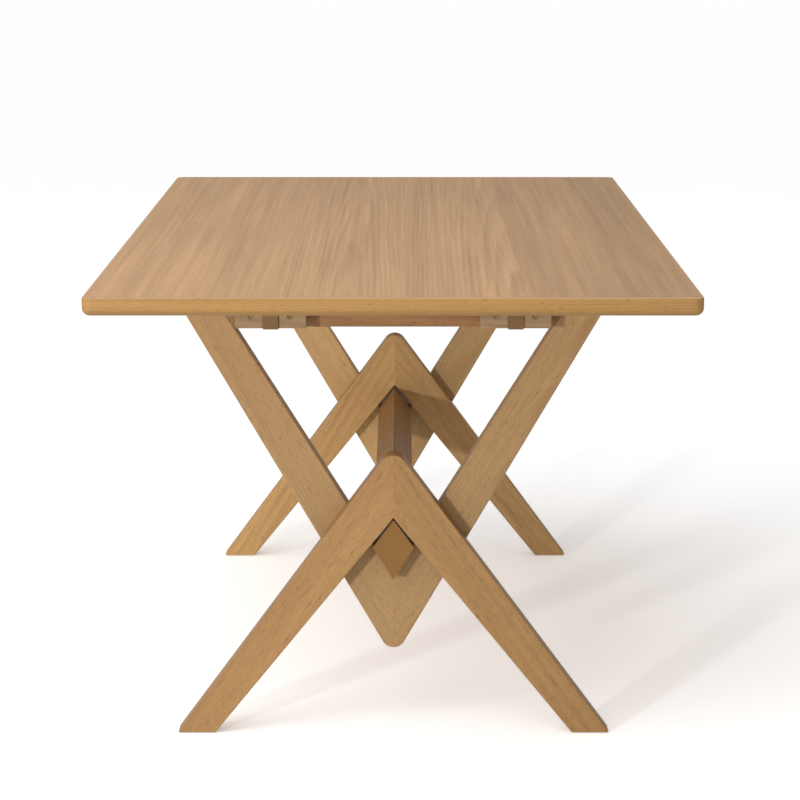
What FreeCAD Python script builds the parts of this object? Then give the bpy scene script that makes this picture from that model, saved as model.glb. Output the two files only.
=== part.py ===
"""Trestle table in oak: a board top on two crossed end trestles, tied by one kite-shaped beam.

Millimetres. X runs across the table, Y along it, Z up. The origin is on the floor under the middle
of the top. Each trestle is a pair of legs mitred at an apex, bolted in front of a pair of arms
mitred at a nose. The top tilts up on wooden knuckle hinges at the front trestle, and its rear
hinge pins rest in open saddles. The beam draws out lengthwise through the trestles' windows.
"""
import FreeCAD, Part
import math
import os

# Driving dimensions
TOP_LENGTH = 1800.0
TOP_WIDTH = 930.0
TOP_HEIGHT = 752.0
TOP_THICK = 27.0
LIP_DEPTH = 14.0
LIP_ROUND = 11.0
TOP_EASING = 1.2
CORNER_ROUND = 16.0
BOARD_SEAMS = [-285.0, -171.0, 18.0, 202.0, 350.0]

BOARD_THICK = 38.0
FRONT_INSET = 253.0
TRESTLE_SPACING = 1214.0
EASING = 2.0
BEARING_GAP = 0.3

# Outlines of the trestle, as the height where an edge meets the middle plane and its run per rise
LEG_OUTER = (478.3, 0.7364)
LEG_INNER = (358.8, 0.8113)
ARM_OUTER = (114.0, 0.5835)
ARM_INNER = (255.4, 0.6251)
LEG_NOSE_R = 23.0
ARM_NOSE_R = 20.0
FOOT_TRIM = 350.0

RAIL_DEPTH = 61.0
RAIL_THICK = 32.0
DOWEL_R = 5.0
DOWEL_LENGTH = 50.0
DOWEL_HEIGHTS = [680.0, 704.0]

KNUCKLE_X = 194.5
KNUCKLE_WIDTH = 24.4
KNUCKLE_SIDE_GAP = 0.4
KNUCKLE_R = 27.0
KNUCKLE_PROUD = 3.0
KNUCKLE_DROP = 1.2
TENON_HALF_HEIGHT = 12.0
TENON_SHOULDER = 3.0
MORTISE_SLACK = 1.0
CLEAT_WIDTH = 113.0
CLEAT_R = 17.5
CLEAT_EASING = 1.5
CLEAT_BACK_GAP = 1.0
BRIDGE_GAP = 1.5
PIN_R = 4.0
PIN_RUNNING = 0.06
PIN_END_INSET = 4.0
PIN_EASING = 0.8
SADDLE_GAP = 1.0

SCREW_SPACING = 62.0
SCREW_TILT = 30.0
SCREW_ABOVE_PIN = 9.0
SCREW_SHANK_R = 2.25
SCREW_LENGTH = 44.0
SCREW_HEAD_R = 5.4
SCREW_HEAD_DEPTH = 2.4
SCREW_HEAD_EASING = 0.9
CROSS_SLOT_REACH = 2.8
CROSS_SLOT_HALF = 0.5
CROSS_SLOT_DEPTH = 1.3
POCKET_R = 6.5
POCKET_DEPTH = 10.0
POCKET_OVERRUN = 12.0

BEAM_END_INSET = 6.0
BEAM_SIDE_Z = 309.0
BEAM_TOP_Z = 354.5
BEAM_REST_GAP = 0.5
BEAM_EASING = 1.2

BOLT_X = 78.0
BOLT_HEIGHTS = [293.0, 338.0]
BOLT_R = 4.0
BOLT_HOLE_R = 4.2
BOLT_HEAD_R = 8.0
COUNTERBORE_R = 8.5
COUNTERBORE_DEPTH = 5.0
BOLT_BELOW_FACE = 1.0
BOLT_REACH = 20.0
INSERT_R = 6.0
INSERT_DEPTH = 22.0
HEX_R = 2.9

SPLINE_THICK = 6.0
SPLINE_HALF_WIDTH = 12.0
LEG_SPLINE = (378.0, 436.0)
ARM_SPLINE = (152.0, 238.0)

GLIDE_R = 9.0
GLIDE_PROUD = 1.5
GLIDE_EASING = 0.8
GLIDE_STEM_R = 1.5
GLIDE_STEM_LENGTH = 12.0
GLIDE_X = [311.0, 332.0]

# Worked out from them
HALF_LENGTH = TOP_LENGTH / 2
HALF_WIDTH = TOP_WIDTH / 2
UNDERSIDE = TOP_HEIGHT - TOP_THICK
BEARING = UNDERSIDE - BEARING_GAP
FRONT_FACE = -HALF_LENGTH + FRONT_INSET
REAR_FACE = FRONT_FACE + TRESTLE_SPACING
PIN_Y = BOARD_THICK - CLEAT_BACK_GAP - CLEAT_R
PIN_Z = 684.5
BRIDGE_Z = PIN_Z + KNUCKLE_R + BRIDGE_GAP
V = FreeCAD.Vector


def save(shape, name):
    """Write one piece to its own STEP file."""
    shape.exportStep("parts/" + name + ".step")


def box(x0, x1, y0, y1, z0, z1):
    """A block between two corners."""
    return Part.makeBox(x1 - x0, y1 - y0, z1 - z0, V(x0, y0, z0))


def edge_x(outline, z):
    """Half the width between a pair of sloping edges at height z."""
    middle, run = outline
    return abs(z - middle) * run


def prism(edges, direction):
    """A closed outline of edges, pushed along a direction."""
    return Part.Face(Part.Wire(edges)).extrude(direction)


def polygon(points, direction):
    """A closed outline of straight edges, pushed along a direction."""
    return Part.Face(Part.makePolygon(points + points[:1])).extrude(direction)


def mirrored(shape):
    """The same piece on the other side of the middle plane."""
    return shape.mirror(V(0, 0, 0), V(1, 0, 0))


def eased(shape, y0, y1, lowest=0.0, highest=1e6):
    """Round the outline's edges on both faces, apart from those on the mitre and on a bearing end."""
    edges = []
    for edge in shape.Edges:
        middle = edge.CenterOfMass
        on_face = edge.BoundBox.YLength < 0.01 and min(abs(middle.y - y0), abs(middle.y - y1)) < 0.01
        inside = lowest < middle.z < highest
        if on_face and inside and middle.x > 1.0:
            edges.append(edge)
    return shape.makeFillet(EASING, edges)


def leg_blank(y0):
    """One leg of a pair: a tapered board, mitred at the middle plane under a rounded apex."""
    apex_z, run = LEG_OUTER
    angle = math.atan(run)
    centre_z = apex_z - LEG_NOSE_R / math.sin(angle)
    tangent = V(LEG_NOSE_R * math.cos(angle), y0, centre_z + LEG_NOSE_R * math.sin(angle))
    between = V(LEG_NOSE_R * math.sin(angle / 2), y0, centre_z + LEG_NOSE_R * math.cos(angle / 2))
    crown = V(0, y0, centre_z + LEG_NOSE_R)
    crotch = V(0, y0, LEG_INNER[0])
    heel = V(edge_x(LEG_INNER, GLIDE_PROUD), y0, GLIDE_PROUD)
    toe = V(FOOT_TRIM, y0, GLIDE_PROUD)
    toe_top = V(FOOT_TRIM, y0, apex_z - FOOT_TRIM / run)
    edges = [
        Part.makeLine(crotch, heel),
        Part.makeLine(heel, toe),
        Part.makeLine(toe, toe_top),
        Part.makeLine(toe_top, tangent),
        Part.Arc(tangent, between, crown).toShape(),
        Part.makeLine(crown, crotch),
    ]
    blank = prism(edges, V(0, BOARD_THICK, 0))
    return eased(blank, y0, y0 + BOARD_THICK, lowest=3.0)


def arm_blank(y0):
    """One arm of a pair: a tapered board, mitred at the middle plane over a rounded nose."""
    apex_z, run = ARM_OUTER
    angle = math.atan(run)
    centre_z = apex_z + ARM_NOSE_R / math.sin(angle)
    tangent = V(ARM_NOSE_R * math.cos(angle), y0, centre_z - ARM_NOSE_R * math.sin(angle))
    between = V(ARM_NOSE_R * math.sin(angle / 2), y0, centre_z - ARM_NOSE_R * math.cos(angle / 2))
    crown = V(0, y0, centre_z - ARM_NOSE_R)
    crotch = V(0, y0, ARM_INNER[0])
    inner = V(edge_x(ARM_INNER, BEARING), y0, BEARING)
    outer = V(edge_x(ARM_OUTER, BEARING), y0, BEARING)
    edges = [
        Part.Arc(crown, between, tangent).toShape(),
        Part.makeLine(tangent, outer),
        Part.makeLine(outer, inner),
        Part.makeLine(inner, crotch),
        Part.makeLine(crotch, crown),
    ]
    blank = prism(edges, V(0, BOARD_THICK, 0))
    return eased(blank, y0, y0 + BOARD_THICK, highest=BEARING - 1.0)


def spline(y0, heights):
    """A thin loose tongue that crosses a mitre inside the boards."""
    middle = y0 + BOARD_THICK / 2
    low, high = heights
    half = SPLINE_THICK / 2
    return box(-SPLINE_HALF_WIDTH, SPLINE_HALF_WIDTH, middle - half, middle + half, low, high)


def bolt_places():
    """Where the legs cross the arms on the right-hand side."""
    return [(BOLT_X, z) for z in BOLT_HEIGHTS]


def bolt(x, z, arm_back):
    """A flat-headed bolt with a hex socket, entered from the back of the arm."""
    seat = arm_back - COUNTERBORE_DEPTH
    length = seat - (arm_back - BOARD_THICK) + BOLT_REACH
    head_depth = COUNTERBORE_DEPTH - BOLT_BELOW_FACE
    head = Part.makeCylinder(BOLT_HEAD_R, head_depth, V(x, seat, z), V(0, 1, 0))
    shank = Part.makeCylinder(BOLT_R, length, V(x, seat - length, z), V(0, 1, 0))
    corners = []
    for step in range(6):
        turn = math.radians(60 * step)
        corners.append(V(x + HEX_R * math.cos(turn), seat + 1.0, z + HEX_R * math.sin(turn)))
    socket = polygon(corners, V(0, head_depth, 0))
    return head.fuse(shank).removeSplitter().cut(socket)


def bolt_hole_in_arm(x, z, arm_back):
    """The clearance hole and counterbore for one bolt."""
    hole = Part.makeCylinder(BOLT_HOLE_R, BOARD_THICK + 2, V(x, arm_back + 1, z), V(0, -1, 0))
    seat = arm_back - COUNTERBORE_DEPTH
    bore = Part.makeCylinder(COUNTERBORE_R, COUNTERBORE_DEPTH + 1, V(x, seat, z), V(0, 1, 0))
    return hole.fuse(bore)


def insert_blank(x, z, leg_back, radius):
    """A cylinder let into the back of a leg."""
    return Part.makeCylinder(radius, INSERT_DEPTH, V(x, leg_back, z), V(0, -1, 0))


def dowel_places():
    """The rail's dowels at its right-hand end, centred on the slanting joint."""
    return [(edge_x(ARM_INNER, z), z) for z in DOWEL_HEIGHTS]


def dowel(x, y, z):
    """One dowel with its length along X, half in the rail and half in the arm."""
    return Part.makeCylinder(DOWEL_R, DOWEL_LENGTH, V(x - DOWEL_LENGTH / 2, y, z), V(1, 0, 0))


def glide(x, y):
    """A nail-on glide: a shallow disc under the foot and its stem."""
    disc = Part.makeCylinder(GLIDE_R, GLIDE_PROUD, V(x, y, 0))
    rim = [edge for edge in disc.Edges if edge.CenterOfMass.z < 0.01 and edge.Length > GLIDE_R]
    disc = disc.makeFillet(GLIDE_EASING, rim)
    stem = Part.makeCylinder(GLIDE_STEM_R, GLIDE_STEM_LENGTH, V(x, y, GLIDE_PROUD))
    return disc.fuse(stem).removeSplitter()


def rail_blank(y0):
    """The cross rail between the arms, with its ends cut to their slope."""
    low = UNDERSIDE - RAIL_DEPTH
    points = [
        V(-edge_x(ARM_INNER, low), y0, low),
        V(edge_x(ARM_INNER, low), y0, low),
        V(edge_x(ARM_INNER, BEARING), y0, BEARING),
        V(-edge_x(ARM_INNER, BEARING), y0, BEARING),
    ]
    blank = polygon(points, V(0, RAIL_THICK, 0))
    lower = []
    for edge in blank.Edges:
        if edge.BoundBox.ZLength < 0.01 and edge.BoundBox.YLength < 0.01:
            if edge.CenterOfMass.z < low + 1:
                lower.append(edge)
    return blank.makeFillet(EASING, lower)


def knuckle(x, face_y, open_saddle):
    """A hinge block on a tenon through the rail, round about the pin and open on top at the rear."""
    y, z = face_y + PIN_Y, PIN_Z
    front = -(CLEAT_R + KNUCKLE_PROUD)
    back = BOARD_THICK - PIN_Y
    low = -(CLEAT_R + KNUCKLE_DROP)
    x0 = x - KNUCKLE_WIDTH / 2
    shoulder = math.sqrt(KNUCKLE_R**2 - front**2)
    turn = (math.pi / 2 + math.atan2(shoulder, front)) / 2
    between = V(x0, y + KNUCKLE_R * math.cos(turn), z + KNUCKLE_R * math.sin(turn))
    start = V(x0, y + front, z + shoulder)
    crown = V(x0, y, z + KNUCKLE_R)
    edges = [
        Part.makeLine(V(x0, y + back, z + low), V(x0, y + front, z + low)),
        Part.makeLine(V(x0, y + front, z + low), start),
        Part.Arc(start, between, crown).toShape(),
        Part.makeLine(crown, V(x0, y + back, z + KNUCKLE_R)),
        Part.makeLine(V(x0, y + back, z + KNUCKLE_R), V(x0, y + back, z + low)),
    ]
    block = prism(edges, V(KNUCKLE_WIDTH, 0, 0))
    tenon = tenon_block(x, face_y, 0.0)
    pin_hole = Part.makeCylinder(PIN_R + PIN_RUNNING, KNUCKLE_WIDTH + 2, V(x0 - 1, y, z), V(1, 0, 0))
    shape = block.fuse(tenon).removeSplitter().cut(pin_hole)
    if open_saddle:
        half_slot = PIN_R + SADDLE_GAP
        slot = box(x0 - 1, x0 + KNUCKLE_WIDTH + 1, y - half_slot, y + half_slot, z, z + KNUCKLE_R + 1)
        seat = Part.makeCylinder(half_slot, KNUCKLE_WIDTH + 2, V(x0 - 1, y, z), V(1, 0, 0))
        shape = shape.cut(slot).cut(seat)
    return shape


def tenon_block(x, face_y, slack):
    """The knuckle's tenon through the rail, or its mortise when given some slack."""
    half = KNUCKLE_WIDTH / 2 - TENON_SHOULDER
    y0 = face_y + BOARD_THICK - slack
    y1 = face_y + BOARD_THICK + RAIL_THICK + slack
    return box(x - half, x + half, y0, y1, PIN_Z - TENON_HALF_HEIGHT, PIN_Z + TENON_HALF_HEIGHT)


def screw_axis(x, face_y):
    """Where a pocket screw's axis leaves the cleat's front face, and its way up into the top."""
    tilt = math.radians(SCREW_TILT)
    start = V(x, face_y + PIN_Y - CLEAT_R, PIN_Z + SCREW_ABOVE_PIN)
    return start, V(0, math.sin(tilt), math.cos(tilt))


def screw_places(x, face_y):
    """The two pocket screws of one cleat."""
    return [screw_axis(x + side * SCREW_SPACING / 2, face_y) for side in (-1, 1)]


def screw(start, way):
    """A pan-headed pocket screw with a cross slot."""
    seat = start + way * POCKET_DEPTH
    crown = seat - way * SCREW_HEAD_DEPTH
    head = Part.makeCylinder(SCREW_HEAD_R, SCREW_HEAD_DEPTH, crown, way)
    rim = []
    for edge in head.Edges:
        if (edge.CenterOfMass - crown).Length < 0.01:
            rim.append(edge)
    head = head.makeFillet(SCREW_HEAD_EASING, rim)
    shank = Part.makeCylinder(SCREW_SHANK_R, SCREW_LENGTH, seat, way)
    reach, half = CROSS_SLOT_REACH, CROSS_SLOT_HALF
    slot_a = box(-half, half, -reach, reach, -1, CROSS_SLOT_DEPTH)
    slot_b = box(-reach, reach, -half, half, -1, CROSS_SLOT_DEPTH)
    cross = slot_a.fuse(slot_b)
    cross.rotate(V(0, 0, 0), V(1, 0, 0), -SCREW_TILT)
    cross.translate(crown)
    return head.fuse(shank).removeSplitter().cut(cross)


def screw_cut(start, way):
    """The pocket and pilot hole of one screw."""
    seat = start + way * POCKET_DEPTH
    length = POCKET_DEPTH + POCKET_OVERRUN
    pocket = Part.makeCylinder(POCKET_R, length, seat - way * length, way)
    pilot = Part.makeCylinder(SCREW_SHANK_R, SCREW_LENGTH, seat, way)
    return pocket.fuse(pilot)


def cleat(x, face_y):
    """A cleat screwed under the top, notched round a knuckle and rounded at its lower back."""
    y, z = face_y + PIN_Y, PIN_Z
    x0 = x - CLEAT_WIDTH / 2
    low, front, back = z - CLEAT_R, y - CLEAT_R, y + CLEAT_R
    turn = math.radians(-45)
    between = V(x0, y + CLEAT_R * math.cos(turn), z + CLEAT_R * math.sin(turn))
    edges = [
        Part.makeLine(V(x0, front, UNDERSIDE), V(x0, front, low)),
        Part.makeLine(V(x0, front, low), V(x0, y, low)),
        Part.Arc(V(x0, y, low), between, V(x0, back, z)).toShape(),
        Part.makeLine(V(x0, back, z), V(x0, back, UNDERSIDE)),
        Part.makeLine(V(x0, back, UNDERSIDE), V(x0, front, UNDERSIDE)),
    ]
    blank = prism(edges, V(CLEAT_WIDTH, 0, 0))
    arris = []
    for edge in blank.Edges:
        middle = edge.CenterOfMass
        if abs(middle.y - front) < 0.01 and middle.z < UNDERSIDE - 1:
            arris.append(edge)
    blank = blank.makeFillet(CLEAT_EASING, arris)
    half = KNUCKLE_WIDTH / 2 + KNUCKLE_SIDE_GAP
    notch = box(x - half, x + half, front - 1, back + 1, low - 1, BRIDGE_Z)
    bore = Part.makeCylinder(PIN_R, CLEAT_WIDTH + 2, V(x0 - 1, y, z), V(1, 0, 0))
    shape = blank.cut(notch).cut(bore)
    for start, way in screw_places(x, face_y):
        shape = shape.cut(screw_cut(start, way))
    return shape


def hinge_pin(x, face_y):
    """A steel pin through a cleat and its knuckle, with rounded ends."""
    length = CLEAT_WIDTH - 2 * PIN_END_INSET
    pin = Part.makeCylinder(PIN_R, length, V(x - length / 2, face_y + PIN_Y, PIN_Z), V(1, 0, 0))
    ends = [edge for edge in pin.Edges if edge.BoundBox.XLength < 0.01]
    return pin.makeFillet(PIN_EASING, ends)


def top_outline(inset):
    """The whole top as a slab with rounded corners and a round lower edge, shrunk by an inset."""
    half_x, half_y = HALF_WIDTH - inset, HALF_LENGTH - inset
    slab = box(-half_x, half_x, -half_y, half_y, UNDERSIDE, TOP_HEIGHT)
    if inset > 0:
        return slab
    corners = [edge for edge in slab.Edges if edge.BoundBox.ZLength > 1]
    slab = slab.makeFillet(CORNER_ROUND, corners)
    lower = [edge for edge in slab.Edges if edge.BoundBox.ZMax < UNDERSIDE + 0.01]
    slab = slab.makeFillet(LIP_ROUND, lower)
    upper = [edge for edge in slab.Edges if edge.BoundBox.ZMin > TOP_HEIGHT - 0.01]
    return slab.makeFillet(TOP_EASING, upper)


def lippings():
    """The four lips round the top, mitred at its corners."""
    ring = top_outline(0).cut(top_outline(LIP_DEPTH))
    low, high = UNDERSIDE - 1, TOP_HEIGHT + 1
    out_x, out_y = HALF_WIDTH + CORNER_ROUND, HALF_LENGTH + CORNER_ROUND
    in_x, in_y = HALF_WIDTH - 2 * LIP_DEPTH, HALF_LENGTH - 2 * LIP_DEPTH
    end = [V(-out_x, out_y, low), V(out_x, out_y, low), V(in_x, in_y, low), V(-in_x, in_y, low)]
    rear_wedge = polygon(end, V(0, 0, high - low))
    front_wedge = rear_wedge.mirror(V(0, 0, 0), V(0, 1, 0))
    rear = ring.common(rear_wedge)
    front = ring.common(front_wedge)
    sides = ring.cut(rear_wedge).cut(front_wedge)
    right = sides.common(box(0, out_x, -out_y, out_y, low, high))
    left = sides.common(box(-out_x, 0, -out_y, out_y, low, high))
    return {"front": front, "rear": rear, "left": left, "right": right}


def top_boards(cuts):
    """The lengthwise boards between the lips, glued edge to edge."""
    field = top_outline(LIP_DEPTH)
    limit = HALF_WIDTH - LIP_DEPTH
    places = [-limit] + BOARD_SEAMS + [limit]
    boards = []
    for left, right in zip(places, places[1:]):
        board = field.common(box(left, right, -HALF_LENGTH, HALF_LENGTH, UNDERSIDE, TOP_HEIGHT))
        for start, way in cuts:
            if left < start.x < right:
                board = board.cut(screw_cut(start, way))
        boards.append(board)
    return boards


def beam():
    """The lengthwise beam, of kite section, standing on its lower edge in the arms' crotches."""
    low = ARM_INNER[0] + BEAM_REST_GAP
    half = (BEAM_SIDE_Z - low) * ARM_INNER[1]
    y0 = FRONT_FACE + BEAM_END_INSET
    y1 = REAR_FACE + 2 * BOARD_THICK - BEAM_END_INSET
    points = [V(0, y0, low), V(half, y0, BEAM_SIDE_Z), V(0, y0, BEAM_TOP_Z), V(-half, y0, BEAM_SIDE_Z)]
    bar = polygon(points, V(0, y1 - y0, 0))
    long_edges = [edge for edge in bar.Edges if edge.BoundBox.YLength > 1]
    return bar.makeFillet(BEAM_EASING, long_edges)


def trestle(name, leg_front, open_saddle):
    """Write all the pieces of one trestle whose legs' front face is at leg_front."""
    leg_back = leg_front + BOARD_THICK
    arm_back = leg_back + BOARD_THICK
    rail_y = leg_back + RAIL_THICK / 2

    leg_tongue = spline(leg_front, LEG_SPLINE)
    arm_tongue = spline(leg_back, ARM_SPLINE)
    leg = leg_blank(leg_front).cut(leg_tongue)
    arm = arm_blank(leg_back).cut(arm_tongue)
    bolts = []
    inserts = []
    for x, z in bolt_places():
        one_bolt = bolt(x, z, arm_back)
        hole = insert_blank(x, z, leg_back, INSERT_R)
        leg = leg.cut(hole)
        arm = arm.cut(bolt_hole_in_arm(x, z, arm_back))
        sleeve = hole.cut(insert_blank(x, z, leg_back, BOLT_R))
        bolts += [one_bolt, mirrored(one_bolt)]
        inserts += [sleeve, mirrored(sleeve)]

    rail = rail_blank(leg_back)
    dowels = []
    for x, z in dowel_places():
        one_dowel = dowel(x, rail_y, z)
        arm = arm.cut(one_dowel)
        rail = rail.cut(one_dowel).cut(mirrored(one_dowel))
        dowels += [one_dowel, mirrored(one_dowel)]

    glides = []
    for x in GLIDE_X:
        one_glide = glide(x, leg_front + BOARD_THICK / 2)
        leg = leg.cut(one_glide)
        glides += [one_glide, mirrored(one_glide)]

    for side, x in (("left", -KNUCKLE_X), ("right", KNUCKLE_X)):
        rail = rail.cut(tenon_block(x, leg_front, MORTISE_SLACK))
        save(knuckle(x, leg_front, open_saddle), name + "_knuckle_" + side)

    save(leg, name + "_leg_right")
    save(mirrored(leg), name + "_leg_left")
    save(arm, name + "_arm_right")
    save(mirrored(arm), name + "_arm_left")
    save(rail, name + "_top_rail")
    save(Part.makeCompound([leg_tongue, arm_tongue]), name + "_mitre_splines")
    save(Part.makeCompound(bolts), name + "_crossing_bolts")
    save(Part.makeCompound(inserts), name + "_threaded_inserts")
    save(Part.makeCompound(dowels), name + "_rail_dowels")
    save(Part.makeCompound(glides), name + "_foot_glides")


def top():
    """Write all the pieces that tilt with the top."""
    cuts = []
    for name, face_y in (("front", FRONT_FACE), ("rear", REAR_FACE)):
        screws = []
        for side, x in (("left", -KNUCKLE_X), ("right", KNUCKLE_X)):
            places = screw_places(x, face_y)
            cuts += places
            screws += [screw(start, way) for start, way in places]
            save(cleat(x, face_y), name + "_cleat_" + side)
            save(hinge_pin(x, face_y), name + "_hinge_pin_" + side)
        save(Part.makeCompound(screws), name + "_cleat_screws")
    for side, lip in lippings().items():
        save(lip, "lipping_" + side)
    for number, board in enumerate(top_boards(cuts), start=1):
        save(board, "top_board_" + str(number))


def main():
    """Build the whole table."""
    os.makedirs("parts", exist_ok=True)
    trestle("front", FRONT_FACE, False)
    trestle("rear", REAR_FACE, True)
    top()
    save(beam(), "stretcher_beam")


main()
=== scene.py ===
"""The looks of the oak trestle table: its finishes, its lips and the studio it stands in.

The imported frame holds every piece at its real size. This script gives each piece a finish, makes
the four lips round the top as finer surfaces, and sets up the floor, lights and camera.
Everything is in metres. X runs across the table, Y along it and Z up.
"""
import math

import bmesh
import bpy
import numpy as np
from bpy.props import FloatProperty, FloatVectorProperty, IntProperty, PointerProperty
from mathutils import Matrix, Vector


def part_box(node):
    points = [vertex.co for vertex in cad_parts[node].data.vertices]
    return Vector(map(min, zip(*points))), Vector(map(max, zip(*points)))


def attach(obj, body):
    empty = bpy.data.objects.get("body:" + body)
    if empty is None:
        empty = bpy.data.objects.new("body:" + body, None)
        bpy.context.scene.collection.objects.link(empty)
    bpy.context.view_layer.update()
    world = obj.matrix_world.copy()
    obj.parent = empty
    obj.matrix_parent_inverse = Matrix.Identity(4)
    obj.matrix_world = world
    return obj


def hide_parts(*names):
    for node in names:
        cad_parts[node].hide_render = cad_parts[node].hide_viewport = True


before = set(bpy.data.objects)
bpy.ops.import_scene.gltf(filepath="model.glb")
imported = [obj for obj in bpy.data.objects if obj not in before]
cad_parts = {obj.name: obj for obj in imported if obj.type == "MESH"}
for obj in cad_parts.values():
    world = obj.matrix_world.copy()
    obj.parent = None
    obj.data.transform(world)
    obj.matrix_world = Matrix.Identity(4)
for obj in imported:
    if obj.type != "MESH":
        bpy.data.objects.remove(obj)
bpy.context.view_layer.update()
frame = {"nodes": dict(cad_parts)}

bl_info = {
    "name": "Oak trestle table",
    "version": (1, 0, 0),
    "blender": (4, 5, 0),
    "location": "3D View > Sidebar > Trestle Table",
    "description": "Finishes, lips and studio for an oak trestle table with a tilting top",
    "category": "Add Mesh",
}

ENDS = ("front", "rear")
SIDES = ("left", "right")
TOP_LOW, TOP_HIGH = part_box("lipping_front")
BOARD_NAMES = sorted(name for name in frame["nodes"] if name.startswith("top_board_"))
FIELD_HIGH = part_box(BOARD_NAMES[-1])[1]


def colour_property(name, description, default):
    """A colour setting with no alpha."""
    return FloatVectorProperty(
        name=name, description=description, subtype="COLOR", size=3, min=0, max=1, default=default
    )


class TableOakTones(bpy.types.PropertyGroup):
    """Colours of the oak, for each group of pieces."""

    top: colour_property("Top", "Early wood of the top boards", (0.555, 0.331, 0.166))
    lip: colour_property("Lip", "Early wood of the lips", (0.302, 0.166, 0.052))
    frame: colour_property("Frame", "Early wood of legs and arms", (0.326, 0.191, 0.080))
    rail: colour_property("Rail", "Early wood of the cross rails", (0.218, 0.108, 0.042))
    beam: colour_property("Beam", "Early wood of the beam", (0.256, 0.133, 0.043))
    knuckle: colour_property("Knuckle", "Early wood of the hinge knuckles", (0.190, 0.106, 0.036))
    cleat: colour_property("Cleat", "Early wood of the cleats", (0.236, 0.158, 0.080))
    late_share: FloatProperty(
        name="Late wood", description="How dark the late wood is beside the early wood",
        default=0.74, min=0.3, max=1.0, subtype="FACTOR",
    )
    pore_share: FloatProperty(
        name="Pores", description="How dark the open pores are beside the early wood",
        default=0.42, min=0.1, max=1.0, subtype="FACTOR",
    )
    end_share: FloatProperty(
        name="End grain", description="How dark a cut end is beside the late wood",
        default=0.80, min=0.1, max=1.0, subtype="FACTOR",
    )


class TableGrain(bpy.types.PropertyGroup):
    """Sizes of the oak's figure."""

    ring_width: FloatProperty(
        name="Ring width", description="Width of one year's growth", default=0.0042,
        min=0.001, max=0.02, unit="LENGTH",
    )
    relief: FloatProperty(
        name="Relief", description="Depth of the open grain", default=0.00022,
        min=0.0, max=0.002, unit="LENGTH",
    )
    sheen_roughness: FloatProperty(
        name="Roughness", description="Roughness of the satin lacquer", default=0.44,
        min=0.1, max=1.0, subtype="FACTOR",
    )


class TableHardwareTones(bpy.types.PropertyGroup):
    """Colours of the fittings."""

    zinc: colour_property("Zinc", "Plated screws, bolts, inserts and pins", (0.560, 0.550, 0.530))
    nylon: colour_property("Nylon", "Glides under the feet", (0.055, 0.048, 0.042))
    beech: colour_property("Beech", "Dowels and loose splines", (0.620, 0.430, 0.260))


class TableLipShape(bpy.types.PropertyGroup):
    """Section of the lips round the top."""

    corner: FloatProperty(
        name="Corner", description="Radius of the top's corners in plan", default=0.016,
        min=0.015, max=0.05, unit="LENGTH",
    )
    lower_round: FloatProperty(
        name="Lower round", description="Radius along the lower edge", default=0.011,
        min=0.002, max=0.013, unit="LENGTH",
    )
    upper_ease: FloatProperty(
        name="Upper ease", description="Radius along the upper edge", default=0.0012,
        min=0.0005, max=0.005, unit="LENGTH",
    )
    steps: IntProperty(
        name="Steps", description="Sections along a corner's half turn", default=12, min=4, max=48
    )


class TableStudio(bpy.types.PropertyGroup):
    """Camera and light."""

    eye_height: FloatProperty(
        name="Eye height", description="Camera height", default=1.3362, unit="LENGTH"
    )
    eye_back: FloatProperty(
        name="Eye distance", description="From the front edge of the top to the camera",
        default=3.9958, unit="LENGTH",
    )
    eye_side: FloatProperty(
        name="Eye side", description="Camera's place across the table", default=0.0106,
        unit="LENGTH",
    )
    eye_down: FloatProperty(
        name="Eye pitch", description="How far the camera looks down", default=0.1825,
        unit="ROTATION",
    )
    lens: FloatProperty(
        name="Lens", description="Focal length on a 36 mm sensor", default=122.07, min=20, max=300
    )
    key_power: FloatProperty(name="Key", description="Power of the key light", default=44.0)
    low_power: FloatProperty(name="Low", description="Power of the low light", default=165.0)
    lamp: FloatProperty(name="Ceiling", description="Strength of the ceiling light", default=1.05)
    lamp_spread: FloatProperty(
        name="Ceiling spread", description="How wide the ceiling light is, seen from the table",
        default=1.2, unit="ROTATION",
    )
    sky: FloatProperty(name="Sky", description="Strength of the white surround", default=0.45)
    floor_glow: FloatProperty(name="Floor", description="Light of the lit paper", default=0.31)


# ---------------------------------------------------------------- shader helpers


def add_node(tree, kind, inputs=None, **settings):
    """A node with its settings, whose inputs are set or linked by name or number."""
    node = tree.nodes.new(kind)
    for key, value in settings.items():
        setattr(node, key, value)
    for key, value in (inputs or {}).items():
        if isinstance(value, bpy.types.NodeSocket):
            tree.links.new(value, node.inputs[key])
        else:
            node.inputs[key].default_value = value
    return node


def maths(tree, operation, first, second=0.0, third=0.0):
    """The result of one Math node."""
    inputs = {0: first, 1: second, 2: third}
    return add_node(tree, "ShaderNodeMath", inputs, operation=operation).outputs[0]


def soft_step(tree, value, low, high):
    """0 below low, 1 above high, and a smooth rise between them."""
    node = add_node(tree, "ShaderNodeMapRange", {"Value": value, 1: low, 2: high, 3: 0.0, 4: 1.0})
    node.interpolation_type = "SMOOTHSTEP"
    return node.outputs[0]


def stretched(tree, vector, scale):
    """The vector with its three parts scaled apart."""
    inputs = {0: vector, 1: scale}
    return add_node(tree, "ShaderNodeVectorMath", inputs, operation="MULTIPLY").outputs[0]


def cloud(tree, vector, detail=2.0, roughness=0.5):
    """A noise value between 0 and 1, at one blob a unit."""
    inputs = {"Vector": vector, "Scale": 1.0, "Detail": detail, "Roughness": roughness}
    return add_node(tree, "ShaderNodeTexNoise", inputs).outputs[0]


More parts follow.
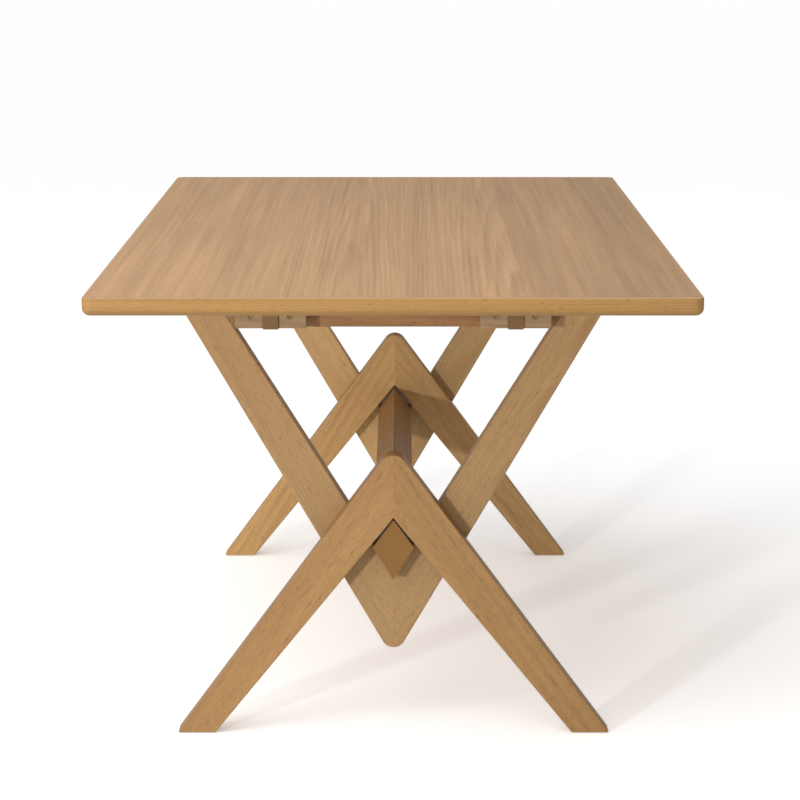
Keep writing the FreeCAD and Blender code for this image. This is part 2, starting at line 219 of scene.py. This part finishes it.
def blend(tree, share, first, second, mode="MIX"):
    """One colour laid over another."""
    node = tree.nodes.new("ShaderNodeMix")
    node.data_type = "RGBA"
    node.blend_type = mode
    for number, value in ((0, share), (6, first), (7, second)):
        if isinstance(value, bpy.types.NodeSocket):
            tree.links.new(value, node.inputs[number])
        else:
            node.inputs[number].default_value = value
    return node.outputs[2]


def grey(tree, value):
    """A value as a grey colour."""
    inputs = {0: value, 1: value, 2: value}
    return add_node(tree, "ShaderNodeCombineColor", inputs).outputs[0]


def new_group(name, inputs, outputs):
    """An empty shader node group with named sockets, and its input and output nodes."""
    tree = bpy.data.node_groups.new(name, "ShaderNodeTree")
    for label, kind, default in inputs:
        socket = tree.interface.new_socket(label, in_out="INPUT", socket_type=kind)
        if default is not None:
            socket.default_value = default
    for label, kind in outputs:
        tree.interface.new_socket(label, in_out="OUTPUT", socket_type=kind)
    entry = tree.nodes.new("NodeGroupInput")
    leave = tree.nodes.new("NodeGroupOutput")
    return tree, entry, leave


FLOAT, COLOUR, VECTOR = "NodeSocketFloat", "NodeSocketColor", "NodeSocketVector"


# Blobs in a metre of the log, twice across the grain and once along it.
WANDER = (3.0, 3.0, 0.7)
RIPPLE = (40.0, 40.0, 2.5)
GOOD_YEARS = (45.0, 45.0, 1.2)
FIBRES = (520.0, 520.0, 9.0)
BANDS = (85.0, 85.0, 1.1)
SPECKS = (1500.0, 1500.0, 70.0)
DRIFTS = (9.0, 9.0, 1.3)
# How far the pith line wanders from straight and the rings ripple, in metres.
WANDER_REACH = 0.030
RIPPLE_REACH = 0.0030
# Where in a year's ring the late wood sets in, and where it gives way.
LATE_RISE = (0.15, 0.80)
LATE_FALL = (0.90, 1.0)


def oak_figure_group():
    """Oak as a solid: growth rings about a leaning pith, open pores, fibres and slow drifts.

    The vector's Z runs along the board. The rings are equal steps of the distance from the pith
    line, which lies beside the board, leans along it and wanders a little, so a face cut near the
    pith shows arches and one cut across the rings shows straight lines. Early wood fades into
    late wood over each ring. Pores are long thin specks, thickest in the early wood. Streaks
    along the board and slow drifts change the shade.
    """
    inputs = [
        ("Vector", VECTOR, None),
        ("Early", COLOUR, (0.5, 0.3, 0.15, 1)),
        ("Late", COLOUR, (0.4, 0.24, 0.12, 1)),
        ("Pore", COLOUR, (0.2, 0.12, 0.06, 1)),
        ("Pith Side", FLOAT, 0.0),
        ("Pith Depth", FLOAT, 0.05),
        ("Lean", FLOAT, 0.02),
        ("Ring Width", FLOAT, 0.004),
        ("Drift", FLOAT, 0.10),
        ("Streak", FLOAT, 0.40),
    ]
    outputs = [("Colour", COLOUR), ("Height", FLOAT), ("Gloss Loss", FLOAT)]
    tree, entry, leave = new_group("oak_figure", inputs, outputs)
    vector = entry.outputs["Vector"]
    parts = add_node(tree, "ShaderNodeSeparateXYZ", {0: vector}).outputs

    wander = cloud(tree, stretched(tree, vector, WANDER), 2.0)
    ripple = cloud(tree, stretched(tree, vector, RIPPLE), 2.0)
    sway = maths(tree, "MULTIPLY_ADD", wander, WANDER_REACH, -WANDER_REACH / 2)
    shiver = maths(tree, "MULTIPLY_ADD", ripple, RIPPLE_REACH, -RIPPLE_REACH / 2)
    side = maths(tree, "ADD", parts[0], entry.outputs["Pith Side"])
    side = maths(tree, "ADD", side, sway)
    lean = maths(tree, "MULTIPLY", parts[2], entry.outputs["Lean"])
    depth = maths(tree, "ADD", maths(tree, "ADD", parts[1], entry.outputs["Pith Depth"]), lean)
    squares = maths(tree, "ADD", maths(tree, "POWER", side, 2.0), maths(tree, "POWER", depth, 2.0))
    radius = maths(tree, "ADD", maths(tree, "SQRT", squares), shiver)
    years = maths(tree, "DIVIDE", radius, entry.outputs["Ring Width"])
    age = maths(tree, "FRACT", years)
    rise = soft_step(tree, age, *LATE_RISE)
    fall = soft_step(tree, age, *LATE_FALL)
    late = maths(tree, "MULTIPLY", rise, maths(tree, "SUBTRACT", 1.0, fall))

    good_years = cloud(tree, stretched(tree, vector, GOOD_YEARS), 3.0, 0.6)
    late = maths(tree, "MULTIPLY", late, soft_step(tree, good_years, 0.25, 0.70))

    fibres = cloud(tree, stretched(tree, vector, FIBRES), 4.0, 0.65)
    bands = cloud(tree, stretched(tree, vector, BANDS), 3.0, 0.62)
    specks = cloud(tree, stretched(tree, vector, SPECKS), 1.0, 0.4)
    early = maths(tree, "SUBTRACT", 1.0, late)
    pores = maths(tree, "MULTIPLY", soft_step(tree, specks, 0.60, 0.72), early)
    drift = cloud(tree, stretched(tree, vector, DRIFTS), 2.0)

    colour = blend(tree, late, entry.outputs["Early"], entry.outputs["Late"])
    shade = maths(tree, "MULTIPLY_ADD", fibres, 0.22, 0.89)
    streak = maths(tree, "MULTIPLY", maths(tree, "SUBTRACT", bands, 0.5), entry.outputs["Streak"])
    shade = maths(tree, "MULTIPLY", shade, maths(tree, "ADD", streak, 1.0))
    swing = maths(tree, "MULTIPLY", maths(tree, "SUBTRACT", drift, 0.5), entry.outputs["Drift"])
    shade = maths(tree, "MULTIPLY", shade, maths(tree, "ADD", swing, 1.0))
    colour = blend(tree, 1.0, colour, grey(tree, shade), "MULTIPLY")
    colour = blend(tree, maths(tree, "MULTIPLY", pores, 0.80), colour, entry.outputs["Pore"])

    height = maths(tree, "MULTIPLY_ADD", late, 0.25, 0.5)
    height = maths(tree, "MULTIPLY_ADD", fibres, 0.30, height)
    height = maths(tree, "SUBTRACT", height, maths(tree, "MULTIPLY", pores, 0.8))
    gloss_loss = maths(tree, "MULTIPLY_ADD", pores, 0.20, maths(tree, "MULTIPLY", early, 0.06))
    for label, value in (("Colour", colour), ("Height", height), ("Gloss Loss", gloss_loss)):
        tree.links.new(value, leave.inputs[label])
    return tree


# Spots in a metre: scratches along each fitting, clouds in the plating, grains in the nylon.
SCRATCHES = (250.0, 4000.0, 4000.0)
PLATE_CLOUDS = (180.0, 180.0, 180.0)
NYLON_GRAINS = (1800.0, 1800.0, 1800.0)
PAPER_MOTTLE = (3.0, 3.0, 3.0)
# Bumps: how strong and, in metres, how deep.
OAK_BUMP = 0.55
PLATE_BUMP, PLATE_RELIEF = 0.3, 0.00005
NYLON_BUMP, NYLON_RELIEF = 0.4, 0.00006


def plated_steel_group():
    """Plated steel: fine turned scratches and a slow cloud of duller plating."""
    inputs = [("Vector", VECTOR, None), ("Base", COLOUR, (0.5, 0.5, 0.5, 1))]
    outputs = [("Colour", COLOUR), ("Roughness", FLOAT), ("Height", FLOAT)]
    tree, entry, leave = new_group("plated_steel", inputs, outputs)
    vector = entry.outputs["Vector"]
    scratch = cloud(tree, stretched(tree, vector, SCRATCHES), 3.0)
    dull = cloud(tree, stretched(tree, vector, PLATE_CLOUDS), 3.0)
    shade = maths(tree, "MULTIPLY_ADD", dull, 0.22, 0.86)
    colour = blend(tree, 1.0, entry.outputs["Base"], grey(tree, shade), "MULTIPLY")
    roughness = maths(tree, "MULTIPLY_ADD", dull, 0.20, 0.24)
    for label, value in (("Colour", colour), ("Roughness", roughness), ("Height", scratch)):
        tree.links.new(value, leave.inputs[label])
    return tree


def shared_group(name, maker):
    """A node group by name, made the first time it is asked for."""
    return bpy.data.node_groups.get(name) or maker()


def new_material(name):
    """An empty material with a Principled BSDF. Returns the material, its tree and the shader."""
    material = bpy.data.materials.new(name)
    material.use_nodes = True
    tree = material.node_tree
    tree.nodes.clear()
    shader = tree.nodes.new("ShaderNodeBsdfPrincipled")
    output = tree.nodes.new("ShaderNodeOutputMaterial")
    tree.links.new(shader.outputs[0], output.inputs[0])
    return material, tree, shader


def placed(tree, turn=(0, 0, 0), shift=(0, 0, 0)):
    """Object coordinates turned so that Z runs along the grain, then shifted along the log."""
    coordinates = tree.nodes.new("ShaderNodeTexCoord").outputs["Object"]
    inputs = {"Vector": coordinates, "Location": shift, "Rotation": turn}
    return add_node(tree, "ShaderNodeMapping", inputs).outputs[0]


# How much of the figure a cut end and the painted shade on faces that look down cover.
END_COVER = 0.65
PAINTED_UNDERSIDE_COVER = 0.8
# Where each of them begins and is complete, as cosines of the angle to the grain or straight down.
END_RANGE = (0.70, 0.95)
PAINTED_UNDERSIDE_RANGE = (-0.05, 0.75)
# The late wood's tint beside the early wood.
LATE_TINT = (1.0, 0.97, 0.92)


def end_share(tree, turn):
    """How far a face shows end grain: none until its normal is near the grain's direction.

    The piece's own normal is turned the same way as its coordinates, so that its third part is
    the cosine of the angle to the grain. Most of the figure is kept at a cut end.
    """
    normal = tree.nodes.new("ShaderNodeTexCoord").outputs["Normal"]
    turned = add_node(tree, "ShaderNodeMapping", {"Vector": normal, "Rotation": turn}).outputs[0]
    along = add_node(tree, "ShaderNodeSeparateXYZ", {0: turned}).outputs[2]
    share = soft_step(tree, maths(tree, "ABSOLUTE", along), *END_RANGE)
    return maths(tree, "MULTIPLY", share, END_COVER)


def facing_down(tree):
    """0 on an upright face, rising to 1 on a face that looks straight down; the mask of the painted
    underside shade.
    """
    normal = tree.nodes.new("ShaderNodeTexCoord").outputs["Normal"]
    up = add_node(tree, "ShaderNodeSeparateXYZ", {0: normal}).outputs[2]
    return soft_step(tree, maths(tree, "MULTIPLY", up, -1.0), *PAINTED_UNDERSIDE_RANGE)


def toned(colour, share):
    """A colour darkened by a share, with its alpha."""
    return (colour[0] * share, colour[1] * share, colour[2] * share, 1.0)


def oak_material(name, tone, cut):
    """Lacquered oak, with its grain turned and placed by a cut.

    A cut is a dictionary of one board's values. turn and shift place the board in the log. side
    and depth are the pith's distance, lean its slope and ring the width of a year. shade and tint
    change the tone, and on the trestles they also carry painted light and shade. late, streak and
    drift set the contrast of the rings, the streaks and the slow clouds. end darkens the cut ends,
    the underside share paints shade on the faces that look down, and polish sets how much the
    lacquer reflects.
    """
    scene = bpy.context.scene
    tones, grain = scene.table_oak, scene.table_grain
    material, tree, shader = new_material(name)
    figure = tree.nodes.new("ShaderNodeGroup")
    figure.node_tree = shared_group("oak_figure", oak_figure_group)
    shade = cut.get("shade", 1.0)
    base = [channel * shade * tint for channel, tint in zip(tone, cut.get("tint", (1, 1, 1)))]
    tree.links.new(placed(tree, cut["turn"], cut["shift"]), figure.inputs["Vector"])
    figure.inputs["Early"].default_value = toned(base, 1.0)
    late_tone = [channel * tint for channel, tint in zip(base, LATE_TINT)]
    late_share = cut.get("late", tones.late_share)
    figure.inputs["Late"].default_value = toned(late_tone, late_share)
    figure.inputs["Pore"].default_value = toned(late_tone, tones.pore_share)
    figure.inputs["Pith Side"].default_value = cut.get("side", 0.0)
    figure.inputs["Pith Depth"].default_value = cut.get("depth", 0.06)
    figure.inputs["Lean"].default_value = cut.get("lean", 0.02)
    figure.inputs["Ring Width"].default_value = cut.get("ring", grain.ring_width)
    figure.inputs["Drift"].default_value = cut.get("drift", 0.16)
    figure.inputs["Streak"].default_value = cut.get("streak", 0.40)
    colour = blend(
        tree, end_share(tree, cut["turn"]), figure.outputs["Colour"],
        toned(late_tone, tones.late_share * cut.get("end", tones.end_share)),
    )
    # Painted shade: faces that look down are darkened towards a shaded tone of the base.
    if "painted_underside_shade" in cut:
        shadow = maths(tree, "MULTIPLY", facing_down(tree), PAINTED_UNDERSIDE_COVER)
        colour = blend(tree, shadow, colour, toned(base, cut["painted_underside_shade"]))
    rough = maths(tree, "ADD", figure.outputs["Gloss Loss"], grain.sheen_roughness)
    inputs = {"Height": figure.outputs["Height"], "Strength": OAK_BUMP, "Distance": grain.relief}
    bump = add_node(tree, "ShaderNodeBump", inputs)
    tree.links.new(colour, shader.inputs["Base Color"])
    tree.links.new(rough, shader.inputs["Roughness"])
    tree.links.new(bump.outputs[0], shader.inputs["Normal"])
    shader.inputs["Specular IOR Level"].default_value = cut.get("polish", 0.20)
    return material


def dress(node_name, material):
    """Give a CAD node its material."""
    slots = frame["nodes"][node_name].data.materials
    slots.clear()
    slots.append(material)


# Width of the legs and the arms, in metres, and rounds in which slope_of settles.
BOARD_WIDTH = 0.055
SLOPE_ROUNDS = 4
# Painted light and shade: by what share the left boards are lighter than a trestle's tone, and the
# right ones darker, as the light falls from the left.
PAINTED_SIDE_SHADE = {"front": 0.02, "rear": 0.09}
# Each kind of board has its own tint, partly the wood's own colour and partly painted light: the
# rear boards, which get less light, are painted lighter and the front legs darker.
TINTS_AND_PAINTED_LIGHT = {
    "front_leg": (0.86, 0.82, 0.74),
    "rear_leg": (1.14, 1.16, 1.08),
    "front_arm": (0.89, 0.92, 0.95),
    "rear_arm": (1.15, 1.24, 1.27),
}
ALONG_X = (0.0, math.pi / 2, 0.0)
ALONG_Y = (math.pi / 2, 0.0, 0.0)


def slope_of(node_name):
    """The angle from upright of a leg or an arm, from the box that it fills.

    A board of width w at angle a takes w / cos(a) of its box's run and about w of its height, so
    the angle is settled in a few rounds.
    """
    low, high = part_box(node_name)
    angle = math.atan2(high[0] - low[0], high[2] - low[2])
    for _ in range(SLOPE_ROUNDS):
        run = high[0] - low[0] - BOARD_WIDTH / math.cos(angle)
        angle = math.atan2(run, high[2] - low[2] - BOARD_WIDTH)
    return angle


# ---------------------------------------------------------------- pieces


class TABLE_OT_top_boards(bpy.types.Operator):
    """Finish the lengthwise boards of the top, each cut from its own part of the log"""

    bl_idname = "table.top_boards"
    bl_label = "Top Boards"

    def execute(self, context):
        cuts = [
            {"side": 0.64, "depth": 0.05, "lean": 0.030, "shade": 1.05, "ring": 0.0060},
            {"side": 0.41, "depth": 0.07, "lean": -0.020, "shade": 1.02, "ring": 0.0042},
            {"side": 0.07, "depth": 0.024, "lean": 0.010, "shade": 1.00, "ring": 0.0060},
            {"side": -0.20, "depth": 0.05, "lean": 0.012, "shade": 1.00, "ring": 0.0064},
            {"side": -0.62, "depth": 0.10, "lean": 0.020, "shade": 0.90, "ring": 0.0040},
            {"side": -0.73, "depth": 0.06, "lean": -0.030, "shade": 0.85, "ring": 0.0050},
        ]
        for number, (name, cut) in enumerate(zip(BOARD_NAMES, cuts)):
            cut["turn"] = ALONG_Y
            cut["shift"] = (0.0, 0.75, 1.7 * number)
            cut.update({"streak": 0.62, "late": 0.79, "drift": 0.30})
            dress(name, oak_material("oak_" + name, context.scene.table_oak.top, cut))
        return {"FINISHED"}


# Points across a lip's top and underside, and steps along its straight edge.
ACROSS_TOP, ACROSS_UNDER, EDGE_STEPS = 4, 3, 24
# A lip's face is flat when its normal's height is past these.
FLAT_UP, FLAT_DOWN = 0.7, -0.97
SHARP_ANGLE = math.radians(35)


def lip_section(shape, thickness, depth, steps=9):
    """A lip's closed section, as its insets from the rim and its heights.

    The outer and inner faces are upright. The upper edge is a quarter circle of the easing
    radius and the lower edge one of the rounding radius, and straight lines join them.
    """
    quarter = np.linspace(0, np.pi / 2, steps)
    ease, lower = shape.upper_ease, shape.lower_round
    upper_in = ease - ease * np.sin(quarter)
    upper_up = thickness - ease + ease * np.cos(quarter)
    lower_in = lower - lower * np.cos(quarter)
    lower_up = lower - lower * np.sin(quarter)
    top = np.linspace(depth, ease, ACROSS_TOP + 1)[:-1]
    under = np.linspace(lower, depth, ACROSS_UNDER + 1)[1:]
    inset = np.concatenate([top, upper_in, lower_in, under])
    flat = np.full(ACROSS_TOP, thickness)
    height = np.concatenate([flat, upper_up, lower_up, np.zeros(ACROSS_UNDER)])
    return inset, height


def lip_path(corner, half_x, half_y, steps):
    """Points on the rim: half a corner's turn, the front edge, and half of the next turn.

    The rim is a rectangle with round corners. The points run from the middle of the front left
    corner to the middle of the front right one.
    """
    turn = np.linspace(math.pi / 4, 0, steps)
    right_x = half_x - corner + corner * np.sin(turn)
    right_y = -half_y + corner - corner * np.cos(turn)
    straight = np.linspace(-half_x + corner, half_x - corner, EDGE_STEPS + 1)[1:-1]
    x = np.concatenate([-right_x, straight, right_x[::-1]])
    y = np.concatenate([right_y, np.full(len(straight), -half_y), right_y[::-1]])
    return x, y


def make_lip(name, node_name, turned, shape):
    """One lip: its section carried along the rim, drawn in towards the field of boards.

    A section's point goes from the rim towards the nearest point of the boards' rectangle, by its
    inset over the lip's depth. turned counts the quarter turns from the front edge.
    """
    field_x, field_y = FIELD_HIGH[0], FIELD_HIGH[1]
    half_x, half_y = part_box("lipping_right")[1][0], -TOP_LOW[1]
    depth = half_x - field_x
    if turned % 2:
        field_x, field_y = field_y, field_x
        half_x, half_y = half_y, half_x
    x, y = lip_path(shape.corner, half_x, half_y, shape.steps)
    inset, height = lip_section(shape, TOP_HIGH[2] - TOP_LOW[2], depth)
    inner_x = np.clip(x, -field_x, field_x)
    inner_y = np.clip(y, -field_y, field_y)
    share = inset[None, :] / depth
    grid_x = x[:, None] + (inner_x - x)[:, None] * share
    grid_y = y[:, None] + (inner_y - y)[:, None] * share
    grid_z = np.broadcast_to(TOP_LOW[2] + height[None, :], grid_x.shape)
    angle = turned * math.pi / 2
    points = np.stack([
        grid_x * math.cos(angle) - grid_y * math.sin(angle),
        grid_x * math.sin(angle) + grid_y * math.cos(angle),
        grid_z,
    ], axis=-1)
    piece = closed_sweep(name, points)
    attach(piece, "top")
    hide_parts(node_name)
    return piece


def closed_sweep(name, points):
    """A solid from a grid of sections by their points, closed round each section and capped."""
    sections, around = points.shape[:2]
    index = np.arange(sections * around).reshape(sections, around)
    following = np.roll(index, -1, axis=1)
    quads = np.stack([index[:-1], index[1:], following[1:], following[:-1]], axis=-1).reshape(-1, 4)
    caps = [index[0].tolist(), index[-1][::-1].tolist()]
    mesh = bpy.data.meshes.new(name)
    mesh.from_pydata(points.reshape(-1, 3).tolist(), [], quads.tolist() + caps)
    work = bmesh.new()
    work.from_mesh(mesh)
    bmesh.ops.recalc_face_normals(work, faces=work.faces)
    work.to_mesh(mesh)
    work.free()
    mesh.shade_smooth()
    mesh.set_sharp_from_angle(angle=SHARP_ANGLE)
    piece = bpy.data.objects.new(name, mesh)
    bpy.context.scene.collection.objects.link(piece)
    return piece


class TABLE_OT_lips(bpy.types.Operator):
    """Make the four mitred lips round the top"""

    bl_idname = "table.lips"
    bl_label = "Lips"

    def execute(self, context):
        scene = context.scene
        turns = {"front": 0, "right": 1, "rear": 2, "left": 3}
        rim_shades = {"front": 1.0, "right": 0.85, "rear": 1.0, "left": 1.06}
        for number, (side, turned) in enumerate(turns.items()):
            along = ALONG_Y if turned % 2 else ALONG_X
            cut = {"turn": along, "shift": (0.0, 0.9, 2.3 * number), "side": 0.06, "depth": -0.02}
            # The underside share paints shade on the lip's faces that look down.
            cut.update({"lean": 0.01, "ring": 0.0045, "late": 0.84, "painted_underside_shade": 0.62})
            piece = make_lip("edge_lip_" + side, "lipping_" + side, turned, scene.table_lip)
            piece.data.materials.append(oak_material("oak_lip_" + side, scene.table_oak.lip, cut))
            face = dict(cut, turn=ALONG_Y, side=0.7, shade=rim_shades[side], end=1.0)
            piece.data.materials.append(oak_material("oak_rim_" + side, scene.table_oak.top, face))
            for polygon in piece.data.polygons:
                height = polygon.normal.z
                polygon.material_index = int(height > FLAT_UP or height < FLAT_DOWN)
        return {"FINISHED"}


class TABLE_OT_trestles(bpy.types.Operator):
    """Finish the legs and the arms of both trestles, with the grain along each board"""

    bl_idname = "table.trestles"
    bl_label = "Legs and Arms"

    def execute(self, context):
        tone = context.scene.table_oak.frame
        number = 0
        for end in ENDS:
            for side, sign in (("left", -1), ("right", 1)):
                for kind, lean_way in (("leg", 1), ("arm", -1)):
                    name = f"{end}_{kind}_{side}"
                    angle = slope_of(name) * sign * lean_way
                    cut = {
                        "turn": (0.0, angle, 0.0),
                        "shift": (0.37 * number, 0.7, 1.3 * number),
                        "side": -0.37 * number + 0.05 * math.cos(2.1 * number),
                        "depth": -0.06 - 0.03 * math.sin(1.7 * number),
                        "lean": 0.03 * math.cos(number),
                        # Painted light and shade: the side share lightens the left boards and
                        # darkens the right ones.
                        "shade": 1.0 - PAINTED_SIDE_SHADE[end] * sign,
                        # Painted light in the tint: the rear trestle is painted lighter and the
                        # front legs darker.
                        "tint": TINTS_AND_PAINTED_LIGHT[f"{end}_{kind}"],
                        "streak": 0.45 if kind == "leg" else 0.30,
                        "late": 0.82 if kind == "leg" else 0.87,
                        "drift": 0.32,
                    }
                    dress(name, oak_material("oak_" + name, tone, cut))
                    number += 1
        return {"FINISHED"}


class TABLE_OT_rails(bpy.types.Operator):
    """Finish the cross rails and the lengthwise beam"""

    bl_idname = "table.rails"
    bl_label = "Rails and Beam"

    def execute(self, context):
        tones = context.scene.table_oak
        for number, end in enumerate(ENDS):
            name = end + "_top_rail"
            cut = {"turn": ALONG_X, "shift": (0.0, 0.2, 1.9 * number), "side": -0.62, "lean": 0.02}
            dress(name, oak_material("oak_" + name, tones.rail, cut))
        cut = {"turn": ALONG_Y, "shift": (0.0, 0.27, 0.4), "side": 0.02, "depth": 0.03}
        cut.update({"lean": 0.01, "polish": 0.08})
        dress("stretcher_beam", oak_material("oak_stretcher_beam", tones.beam, cut))
        return {"FINISHED"}


class TABLE_OT_hinges(bpy.types.Operator):
    """Finish the cleats and the knuckles of the top's wooden hinges"""

    bl_idname = "table.hinges"
    bl_label = "Cleats and Knuckles"

    def execute(self, context):
        tones = context.scene.table_oak
        number = 0
        for end in ENDS:
            for side in SIDES:
                shift = (0.0, 0.3 * number, 0.9 * number)
                place = {"shift": shift, "ring": 0.003}
                cleat = dict(place, turn=ALONG_X, side=-0.6, depth=0.05)
                name = f"{end}_cleat_{side}"
                dress(name, oak_material("wood_" + name, tones.cleat, cleat))
                knuckle = dict(place, turn=ALONG_Y, side=0.0, depth=0.7)
                name = f"{end}_knuckle_{side}"
                dress(name, oak_material("wood_" + name, tones.knuckle, knuckle))
                number += 1
        return {"FINISHED"}


def zinc_material(colour):
    """Zinc-plated steel with fine scratches."""
    material, tree, shader = new_material("zinc_plate")
    plate = tree.nodes.new("ShaderNodeGroup")
    plate.node_tree = shared_group("plated_steel", plated_steel_group)
    tree.links.new(placed(tree), plate.inputs["Vector"])
    plate.inputs["Base"].default_value = toned(colour, 1.0)
    inputs = {"Height": plate.outputs["Height"], "Strength": PLATE_BUMP, "Distance": PLATE_RELIEF}
    bump = add_node(tree, "ShaderNodeBump", inputs)
    tree.links.new(plate.outputs["Colour"], shader.inputs["Base Color"])
    tree.links.new(plate.outputs["Roughness"], shader.inputs["Roughness"])
    tree.links.new(bump.outputs[0], shader.inputs["Normal"])
    shader.inputs["Metallic"].default_value = 1.0
    return material


def nylon_material(colour):
    """Matt moulded nylon with a fine spark-eroded grain."""
    material, tree, shader = new_material("glide_nylon")
    grain = cloud(tree, stretched(tree, placed(tree), NYLON_GRAINS), 2.0)
    shade = maths(tree, "MULTIPLY_ADD", grain, 0.3, 0.85)
    tree.links.new(blend(tree, 1.0, toned(colour, 1.0), grey(tree, shade), "MULTIPLY"),
                   shader.inputs["Base Color"])
    tree.links.new(maths(tree, "MULTIPLY_ADD", grain, 0.2, 0.5), shader.inputs["Roughness"])
    inputs = {"Height": grain, "Strength": NYLON_BUMP, "Distance": NYLON_RELIEF}
    bump = add_node(tree, "ShaderNodeBump", inputs)
    tree.links.new(bump.outputs[0], shader.inputs["Normal"])
    return material


class TABLE_OT_fittings(bpy.types.Operator):
    """Finish the screws, bolts, inserts, pins, dowels, splines and glides"""

    bl_idname = "table.fittings"
    bl_label = "Fittings"

    def execute(self, context):
        hardware = context.scene.table_hardware
        zinc = zinc_material(hardware.zinc)
        nylon = nylon_material(hardware.nylon)
        cut = {"turn": (0, 0, 0), "shift": (0, 0, 0), "side": 0.4, "depth": 0.9, "ring": 0.0025}
        upright_beech = oak_material("beech_splines", hardware.beech, cut)
        lying_beech = oak_material("beech_dowels", hardware.beech, dict(cut, turn=ALONG_X))
        for end in ENDS:
            for name in ("cleat_screws", "crossing_bolts", "threaded_inserts"):
                dress(f"{end}_{name}", zinc)
            for side in SIDES:
                dress(f"{end}_hinge_pin_{side}", zinc)
            dress(end + "_foot_glides", nylon)
            dress(end + "_mitre_splines", upright_beech)
            dress(end + "_rail_dowels", lying_beech)
        return {"FINISHED"}


# ---------------------------------------------------------------- studio

FLOOR_REACH = 30.0
# Where the lights stand, the sides of the two squares, and what all three are aimed at.
KEY_PLACE, KEY_SIZE = (-1.6, -2.2, 2.9), 2.2
LOW_PLACE, LOW_SIZE = (-2.7, -5.1, 1.0), 0.3
CEILING_PLACE = (-1.2, -0.8, 3.3)
LIGHT_TARGET = (0.0, 0.0, 0.5)


def aimed_light(name, kind, place, size, power):
    """A white soft light aimed at the table: a square of a size, or a far lamp of a spread."""
    data = bpy.data.lights.new(name, kind)
    if kind == "SUN":
        data.angle = size
    else:
        data.size = size
    data.energy = power
    light = bpy.data.objects.new(name, data)
    bpy.context.scene.collection.objects.link(light)
    light.location = place
    aim = Vector(LIGHT_TARGET) - Vector(place)
    light.rotation_euler = aim.to_track_quat("-Z", "Y").to_euler()
    return light


def floor_material(glow):
    """Near-white studio paper with the faintest mottle, lit a little from behind."""
    material, tree, shader = new_material("studio_paper")
    mottle = cloud(tree, stretched(tree, placed(tree), PAPER_MOTTLE), 2.0)
    shade = maths(tree, "MULTIPLY_ADD", mottle, 0.01, 0.90)
    tree.links.new(grey(tree, shade), shader.inputs["Base Color"])
    shader.inputs["Roughness"].default_value = 0.95
    shader.inputs["Specular IOR Level"].default_value = 0.1
    shader.inputs["Emission Color"].default_value = (1.0, 1.0, 1.0, 1.0)
    shader.inputs["Emission Strength"].default_value = glow
    return material


class TABLE_OT_stage(bpy.types.Operator):
    """Set up the floor, the soft lights and the camera"""

    bl_idname = "table.stage"
    bl_label = "Studio"

    def execute(self, context):
        scene, studio = context.scene, context.scene.table_studio
        mesh = bpy.data.meshes.new("studio_floor")
        far = FLOOR_REACH
        corners = [(-far, -far, 0), (far, -far, 0), (far, far, 0), (-far, far, 0)]
        mesh.from_pydata(corners, [], [(0, 1, 2, 3)])
        mesh.materials.append(floor_material(studio.floor_glow))
        floor = bpy.data.objects.new("studio_floor", mesh)
        scene.collection.objects.link(floor)

        world = bpy.data.worlds.new("studio_surround")
        world.use_nodes = True
        sky = world.node_tree.nodes["Background"]
        sky.inputs["Color"].default_value = (1.0, 1.0, 1.0, 1.0)
        seen = world.node_tree.nodes.new("ShaderNodeLightPath").outputs["Is Camera Ray"]
        strength = maths(world.node_tree, "MULTIPLY_ADD", seen, 1.0 - studio.sky, studio.sky)
        world.node_tree.links.new(strength, sky.inputs["Strength"])
        scene.world = world

        aimed_light("key_light", "AREA", KEY_PLACE, KEY_SIZE, studio.key_power)
        aimed_light("low_light", "AREA", LOW_PLACE, LOW_SIZE, studio.low_power)
        aimed_light("ceiling_light", "SUN", CEILING_PLACE, studio.lamp_spread, studio.lamp)

        data = bpy.data.cameras.new("studio_camera")
        data.sensor_width = 36.0
        data.lens = studio.lens
        data.clip_end = 100.0
        camera = bpy.data.objects.new("studio_camera", data)
        scene.collection.objects.link(camera)
        camera.location = (studio.eye_side, TOP_LOW[1] - studio.eye_back, studio.eye_height)
        camera.rotation_euler = (math.pi / 2 - studio.eye_down, 0.0, 0.0)
        scene.camera = camera
        scene.view_settings.view_transform = "Standard"
        return {"FINISHED"}


class TABLE_PT_panel(bpy.types.Panel):
    """The table's settings and steps"""

    bl_idname = "TABLE_PT_panel"
    bl_label = "Trestle Table"
    bl_space_type = "VIEW_3D"
    bl_region_type = "UI"
    bl_category = "Trestle Table"

    def draw(self, context):
        scene, layout = context.scene, self.layout
        for group in (scene.table_oak, scene.table_grain, scene.table_hardware,
                      scene.table_lip, scene.table_studio):
            box = layout.box()
            for key in group.__annotations__:
                box.prop(group, key)
        for step in STEPS:
            layout.operator(step.bl_idname)


SETTINGS = {
    "table_oak": TableOakTones,
    "table_grain": TableGrain,
    "table_hardware": TableHardwareTones,
    "table_lip": TableLipShape,
    "table_studio": TableStudio,
}
STEPS = (
    TABLE_OT_top_boards,
    TABLE_OT_lips,
    TABLE_OT_trestles,
    TABLE_OT_rails,
    TABLE_OT_hinges,
    TABLE_OT_fittings,
    TABLE_OT_stage,
)


def register():
    """Register the settings, the steps and the panel."""
    for kind in (*SETTINGS.values(), *STEPS, TABLE_PT_panel):
        bpy.utils.register_class(kind)
    for name, kind in SETTINGS.items():
        setattr(bpy.types.Scene, name, PointerProperty(type=kind))


def unregister():
    """Remove them again."""
    for name in SETTINGS:
        delattr(bpy.types.Scene, name)
    for kind in reversed((*SETTINGS.values(), *STEPS, TABLE_PT_panel)):
        bpy.utils.unregister_class(kind)


def main():
    """Register the settings and steps, then run every step in order."""
    register()
    for step in STEPS:
        prefix, name = step.bl_idname.split(".")
        getattr(getattr(bpy.ops, prefix), name)()


if __name__ == "__main__":
    main()
